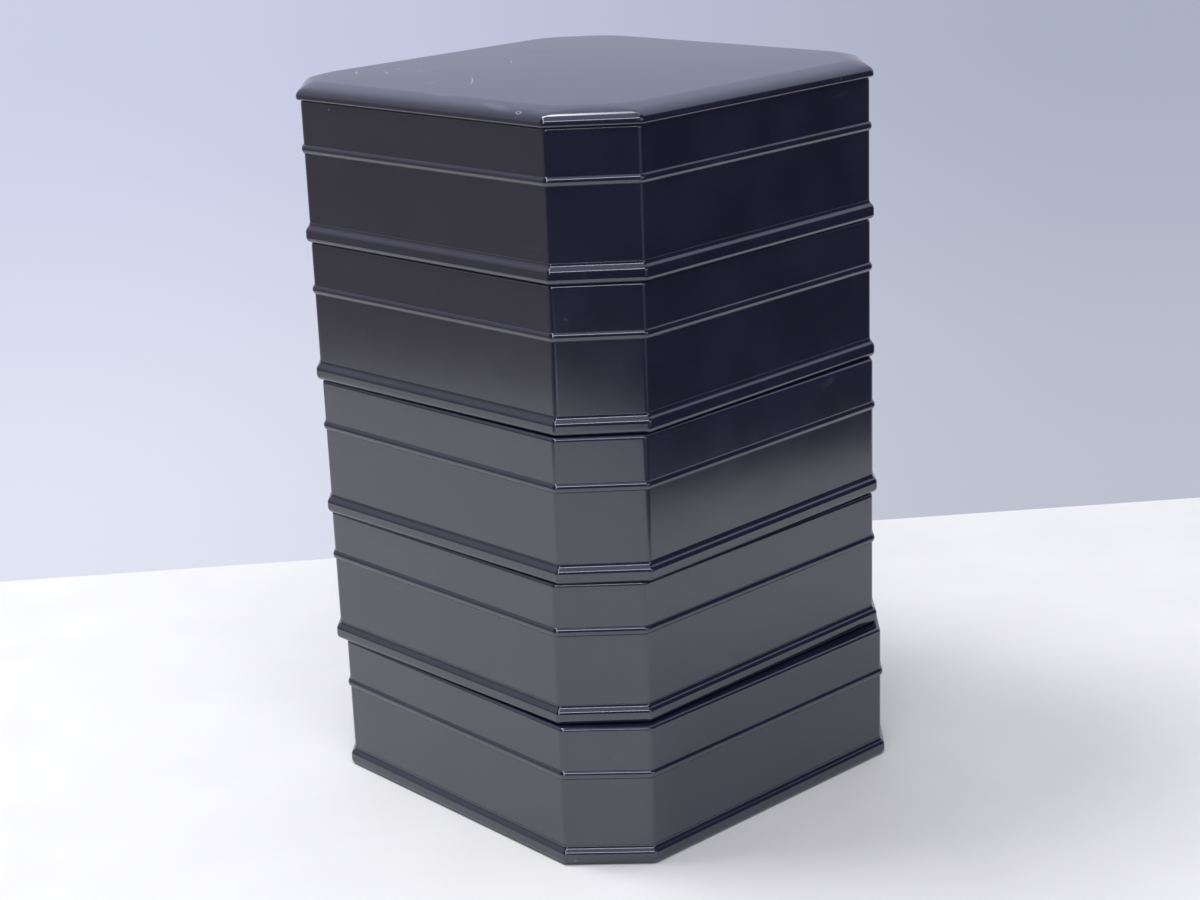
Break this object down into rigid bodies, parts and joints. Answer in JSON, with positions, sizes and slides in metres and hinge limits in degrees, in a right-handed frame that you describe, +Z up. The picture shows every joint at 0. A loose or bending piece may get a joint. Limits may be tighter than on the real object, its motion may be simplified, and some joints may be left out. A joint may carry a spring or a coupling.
{
  "type": "stacking lacquer box",
  "caption": "Stacking food box: square lacquered tiers with cut corners, each with a moulded foot and a bead line, under a crowned lift-off lid.",
  "frame": {"origin": "on the surface that the box stands on, under the middle of the whole box", "axes": "+Z up; the walls of the bottom tier face +X, -X, +Y and -Y"},
  "size_m": [0.2308, 0.2256, 0.3379],
  "materials": {
    "black_lacquer": "polished black lacquer over wood",
    "floor_lacquer": "black lacquer over wood, less polished",
    "lid_lacquer": "polished black lacquer over wood, fine scratches"
  },
  "bodies": {
    "tier1": {"tier1_front_board": "black_lacquer", "tier1_back_board": "black_lacquer", "tier1_left_board": "black_lacquer", "tier1_right_board": "black_lacquer", "tier1_corner_posts": "black_lacquer", "tier1_floor_board": "floor_lacquer", "tier1_base_frame": "black_lacquer", "tier1_bead": "black_lacquer"},
    "tier2": {"tier2_front_board": "black_lacquer", "tier2_back_board": "black_lacquer", "tier2_left_board": "black_lacquer", "tier2_right_board": "black_lacquer", "tier2_corner_posts": "black_lacquer", "tier2_floor_board": "floor_lacquer", "tier2_base_frame": "black_lacquer", "tier2_bead": "black_lacquer"},
    "tier3": {"tier3_front_board": "black_lacquer", "tier3_back_board": "black_lacquer", "tier3_left_board": "black_lacquer", "tier3_right_board": "black_lacquer", "tier3_corner_posts": "black_lacquer", "tier3_floor_board": "floor_lacquer", "tier3_base_frame": "black_lacquer", "tier3_bead": "black_lacquer"},
    "tier4": {"tier4_front_board": "black_lacquer", "tier4_back_board": "black_lacquer", "tier4_left_board": "black_lacquer", "tier4_right_board": "black_lacquer", "tier4_corner_posts": "black_lacquer", "tier4_floor_board": "floor_lacquer", "tier4_base_frame": "black_lacquer", "tier4_bead": "black_lacquer"},
    "tier5": {"tier5_front_board": "black_lacquer", "tier5_back_board": "black_lacquer", "tier5_left_board": "black_lacquer", "tier5_right_board": "black_lacquer", "tier5_corner_posts": "black_lacquer", "tier5_floor_board": "floor_lacquer", "tier5_base_frame": "black_lacquer", "tier5_bead": "black_lacquer"},
    "lid": {"lid_board": "lid_lacquer", "lid_edge_strip": "lid_lacquer", "lid_cleat_frame": "lid_lacquer"}
  },
  "joints": [
    {"name": "tier4_lift", "type": "slide", "parent": "tier5", "child": "tier4", "axis": [0, 0, 1], "range_m": [0, 0.08]},
    {"name": "tier3_lift", "type": "slide", "parent": "tier4", "child": "tier3", "axis": [0, 0, 1], "range_m": [0, 0.08]},
    {"name": "tier2_lift", "type": "slide", "parent": "tier3", "child": "tier2", "axis": [0, 0, 1], "range_m": [0, 0.08]},
    {"name": "tier1_lift", "type": "slide", "parent": "tier2", "child": "tier1", "axis": [0, 0, 1], "range_m": [0, 0.08]},
    {"name": "lid_lift", "type": "slide", "parent": "tier1", "child": "lid", "axis": [0, 0, 1], "range_m": [0, 0.08]}
  ]
}
